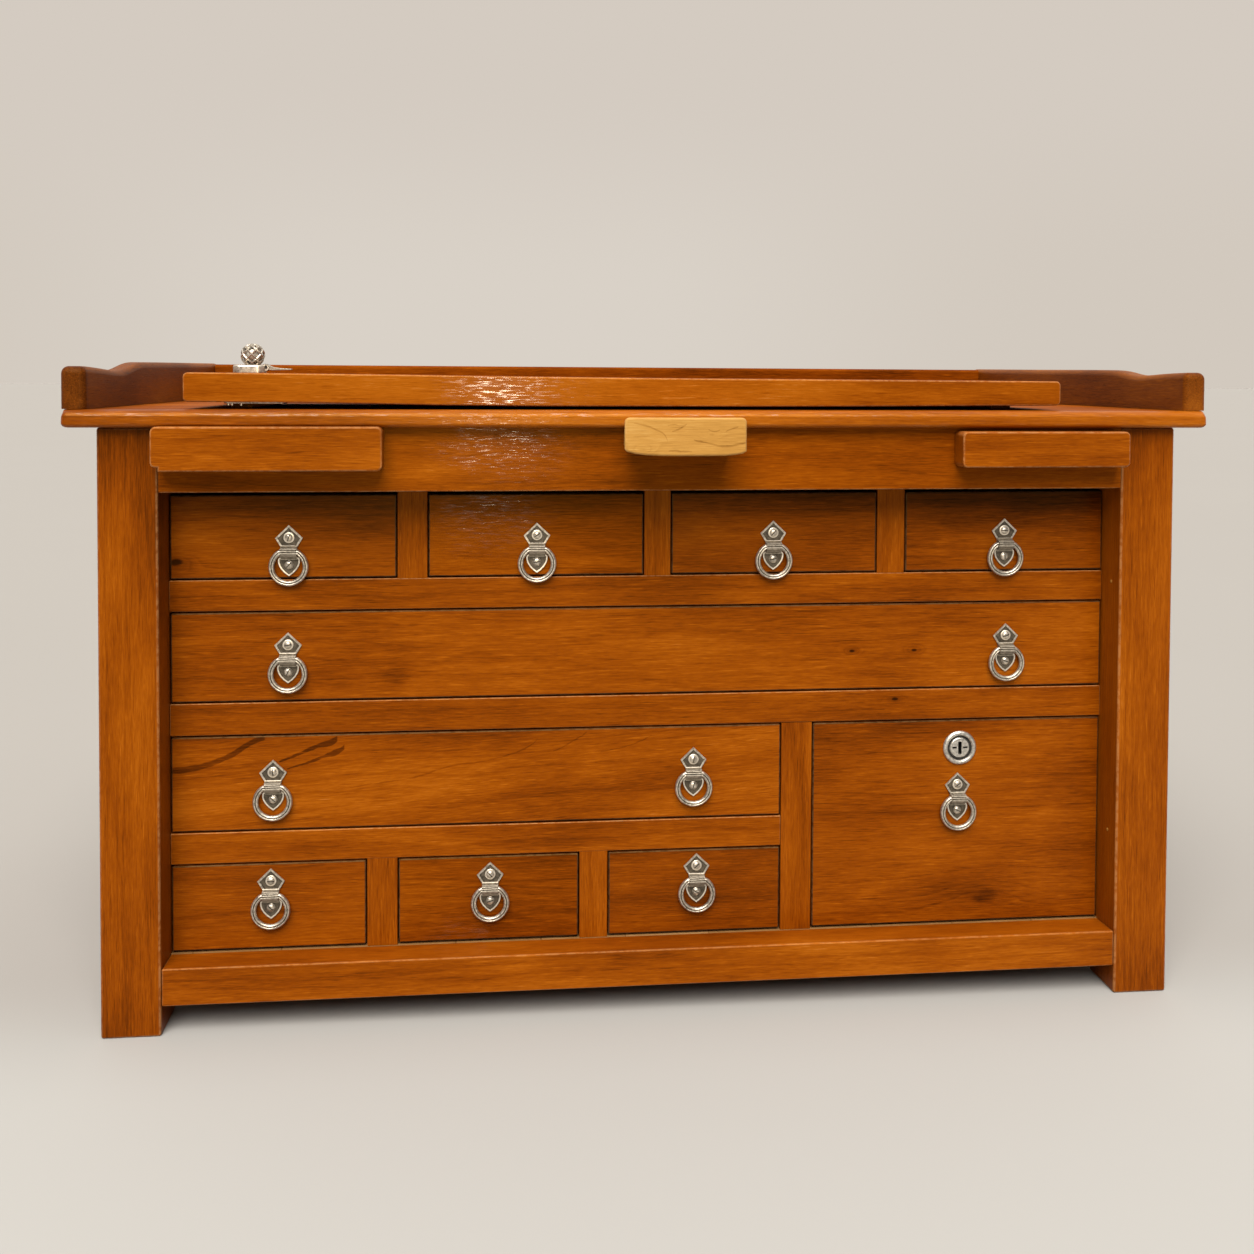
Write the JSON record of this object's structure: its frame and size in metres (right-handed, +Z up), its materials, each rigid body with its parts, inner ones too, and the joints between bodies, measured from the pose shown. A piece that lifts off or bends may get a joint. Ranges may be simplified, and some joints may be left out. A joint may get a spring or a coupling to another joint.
{
  "type": "jeweller's workbench",
  "caption": "Low wooden jeweller's workbench: a galleried top over sliding drawers with ring pulls, a cam lock, pull-out arm rests and a bench pin.",
  "frame": {"origin": "middle of the footprint of the whole bench, bench pin included, on the floor", "axes": "+X to the right of someone facing the drawers, -Y out of the front, +Z up"},
  "size_m": [1.207, 0.7, 0.7121],
  "materials": {
    "varnished_hardwood": "honey-brown hardwood with a clear semi-gloss varnish",
    "inner_wood": "thinly varnished hardwood panel",
    "beech": "bare pale wood, worn smooth",
    "aged_nickel": "cast nickel-plated metal, dark in the hollows and bright on the rims",
    "lock_steel": "turned nickel-plated steel"
  },
  "bodies": {
    "frame": {"table_top": "varnished_hardwood", "gallery_left": "varnished_hardwood", "gallery_right": "varnished_hardwood", "gallery_back": "varnished_hardwood", "leg_front_left": "varnished_hardwood", "leg_front_right": "varnished_hardwood", "leg_rear_left": "varnished_hardwood", "leg_rear_right": "varnished_hardwood", "apron_front": "varnished_hardwood", "bottom_rail_front": "varnished_hardwood", "side_panel_left": "varnished_hardwood", "side_panel_right": "varnished_hardwood", "back_panel": "inner_wood", "upper_web_frame": "varnished_hardwood", "middle_web": "varnished_hardwood", "lower_web_frame": "varnished_hardwood", "stile_right": "varnished_hardwood", "carcass_floor": "inner_wood", "carcass_top": "inner_wood", "raised_board": "varnished_hardwood", "knob": "aged_nickel"},
    "drawer_top_1": {"drawer_top_1": "varnished_hardwood", "pull_plate_top_1": "aged_nickel"},
    "drawer_top_2": {"drawer_top_2": "varnished_hardwood", "pull_plate_top_2": "aged_nickel"},
    "drawer_top_3": {"drawer_top_3": "varnished_hardwood", "pull_plate_top_3": "aged_nickel"},
    "drawer_top_4": {"drawer_top_4": "varnished_hardwood", "pull_plate_top_4": "aged_nickel"},
    "drawer_long": {"drawer_long": "varnished_hardwood", "pull_plate_long_left": "aged_nickel", "pull_plate_long_right": "aged_nickel"},
    "drawer_wide": {"drawer_wide": "varnished_hardwood", "pull_plate_wide_left": "aged_nickel", "pull_plate_wide_right": "aged_nickel"},
    "drawer_small_1": {"drawer_small_1": "varnished_hardwood", "pull_plate_small_1": "aged_nickel"},
    "drawer_small_2": {"drawer_small_2": "varnished_hardwood", "pull_plate_small_2": "aged_nickel"},
    "drawer_small_3": {"drawer_small_3": "varnished_hardwood", "pull_plate_small_3": "aged_nickel"},
    "drawer_lock": {"drawer_lock": "varnished_hardwood", "pull_plate_lock": "aged_nickel", "lock_case": "lock_steel"},
    "ring_top_1": {"pull_ring_top_1": "aged_nickel"},
    "ring_top_2": {"pull_ring_top_2": "aged_nickel"},
    "ring_top_3": {"pull_ring_top_3": "aged_nickel"},
    "ring_top_4": {"pull_ring_top_4": "aged_nickel"},
    "ring_long_left": {"pull_ring_long_left": "aged_nickel"},
    "ring_long_right": {"pull_ring_long_right": "aged_nickel"},
    "ring_wide_left": {"pull_ring_wide_left": "aged_nickel"},
    "ring_wide_right": {"pull_ring_wide_right": "aged_nickel"},
    "ring_small_1": {"pull_ring_small_1": "aged_nickel"},
    "ring_small_2": {"pull_ring_small_2": "aged_nickel"},
    "ring_small_3": {"pull_ring_small_3": "aged_nickel"},
    "ring_lock": {"pull_ring_lock": "aged_nickel"},
    "lock_cylinder": {"lock_cylinder": "lock_steel"},
    "arm_rest_left": {"arm_rest_left": "varnished_hardwood"},
    "arm_rest_right": {"arm_rest_right": "varnished_hardwood"},
    "bench_pin": {"bench_pin": "beech"}
  },
  "joints": [
    {"name": "drawer_top_1_slide", "type": "slide", "parent": "frame", "child": "drawer_top_1", "axis": [0, -1, 0], "range_m": [0, 0.38]},
    {"name": "drawer_top_2_slide", "type": "slide", "parent": "frame", "child": "drawer_top_2", "axis": [0, -1, 0], "range_m": [0, 0.38]},
    {"name": "drawer_top_3_slide", "type": "slide", "parent": "frame", "child": "drawer_top_3", "axis": [0, -1, 0], "range_m": [0, 0.38]},
    {"name": "drawer_top_4_slide", "type": "slide", "parent": "frame", "child": "drawer_top_4", "axis": [0, -1, 0], "range_m": [0, 0.38]},
    {"name": "drawer_long_slide", "type": "slide", "parent": "frame", "child": "drawer_long", "axis": [0, -1, 0], "range_m": [0, 0.38]},
    {"name": "drawer_wide_slide", "type": "slide", "parent": "frame", "child": "drawer_wide", "axis": [0, -1, 0], "range_m": [0, 0.38]},
    {"name": "drawer_small_1_slide", "type": "slide", "parent": "frame", "child": "drawer_small_1", "axis": [0, -1, 0], "range_m": [0, 0.38]},
    {"name": "drawer_small_2_slide", "type": "slide", "parent": "frame", "child": "drawer_small_2", "axis": [0, -1, 0], "range_m": [0, 0.38]},
    {"name": "drawer_small_3_slide", "type": "slide", "parent": "frame", "child": "drawer_small_3", "axis": [0, -1, 0], "range_m": [0, 0.38]},
    {"name": "drawer_lock_slide", "type": "slide", "parent": "frame", "child": "drawer_lock", "axis": [0, -1, 0], "range_m": [0, 0.38]},
    {"name": "ring_top_1_swing", "type": "hinge", "parent": "drawer_top_1", "child": "ring_top_1", "pos_m": [-0.3863, -0.24305, 0.492], "axis": [-1, 0, 0], "range_deg": [0, 160]},
    {"name": "ring_top_2_swing", "type": "hinge", "parent": "drawer_top_2", "child": "ring_top_2", "pos_m": [-0.1252, -0.24305, 0.4927], "axis": [-1, 0, 0], "range_deg": [0, 160]},
    {"name": "ring_top_3_swing", "type": "hinge", "parent": "drawer_top_3", "child": "ring_top_3", "pos_m": [0.133, -0.24305, 0.4931], "axis": [-1, 0, 0], "range_deg": [0, 160]},
    {"name": "ring_top_4_swing", "type": "hinge", "parent": "drawer_top_4", "child": "ring_top_4", "pos_m": [0.3949, -0.24305, 0.4937], "axis": [-1, 0, 0], "range_deg": [0, 160]},
    {"name": "ring_long_left_swing", "type": "hinge", "parent": "drawer_long", "child": "ring_long_left", "pos_m": [-0.3876, -0.24305, 0.3783], "axis": [-1, 0, 0], "range_deg": [0, 160]},
    {"name": "ring_long_right_swing", "type": "hinge", "parent": "drawer_long", "child": "ring_long_right", "pos_m": [0.3977, -0.24305, 0.3762], "axis": [-1, 0, 0], "range_deg": [0, 160]},
    {"name": "ring_wide_left_swing", "type": "hinge", "parent": "drawer_wide", "child": "ring_wide_left", "pos_m": [-0.4036, -0.24305, 0.2429], "axis": [-1, 0, 0], "range_deg": [0, 160]},
    {"name": "ring_wide_right_swing", "type": "hinge", "parent": "drawer_wide", "child": "ring_wide_right", "pos_m": [0.0461, -0.24305, 0.2454], "axis": [-1, 0, 0], "range_deg": [0, 160]},
    {"name": "ring_small_1_swing", "type": "hinge", "parent": "drawer_small_1", "child": "ring_small_1", "pos_m": [-0.4062, -0.24305, 0.1269], "axis": [-1, 0, 0], "range_deg": [0, 160]},
    {"name": "ring_small_2_swing", "type": "hinge", "parent": "drawer_small_2", "child": "ring_small_2", "pos_m": [-0.1748, -0.24305, 0.126], "axis": [-1, 0, 0], "range_deg": [0, 160]},
    {"name": "ring_small_3_swing", "type": "hinge", "parent": "drawer_small_3", "child": "ring_small_3", "pos_m": [0.0501, -0.24305, 0.128], "axis": [-1, 0, 0], "range_deg": [0, 160]},
    {"name": "ring_lock_swing", "type": "hinge", "parent": "drawer_lock", "child": "ring_lock", "pos_m": [0.3443, -0.24305, 0.2095], "axis": [-1, 0, 0], "range_deg": [0, 160]},
    {"name": "lock_turn", "type": "hinge", "parent": "drawer_lock", "child": "lock_cylinder", "pos_m": [0.3464, -0.238, 0.266], "axis": [0, 1, 0], "range_deg": [0, 90]},
    {"name": "arm_rest_left_slide", "type": "slide", "parent": "frame", "child": "arm_rest_left", "axis": [0, -1, 0], "range_m": [0, 0.25]},
    {"name": "arm_rest_right_slide", "type": "slide", "parent": "frame", "child": "arm_rest_right", "axis": [0, -1, 0], "range_m": [0, 0.25]},
    {"name": "bench_pin_slide", "type": "slide", "parent": "frame", "child": "bench_pin", "axis": [0, -1, 0], "range_m": [0, 0.06]}
  ]
}
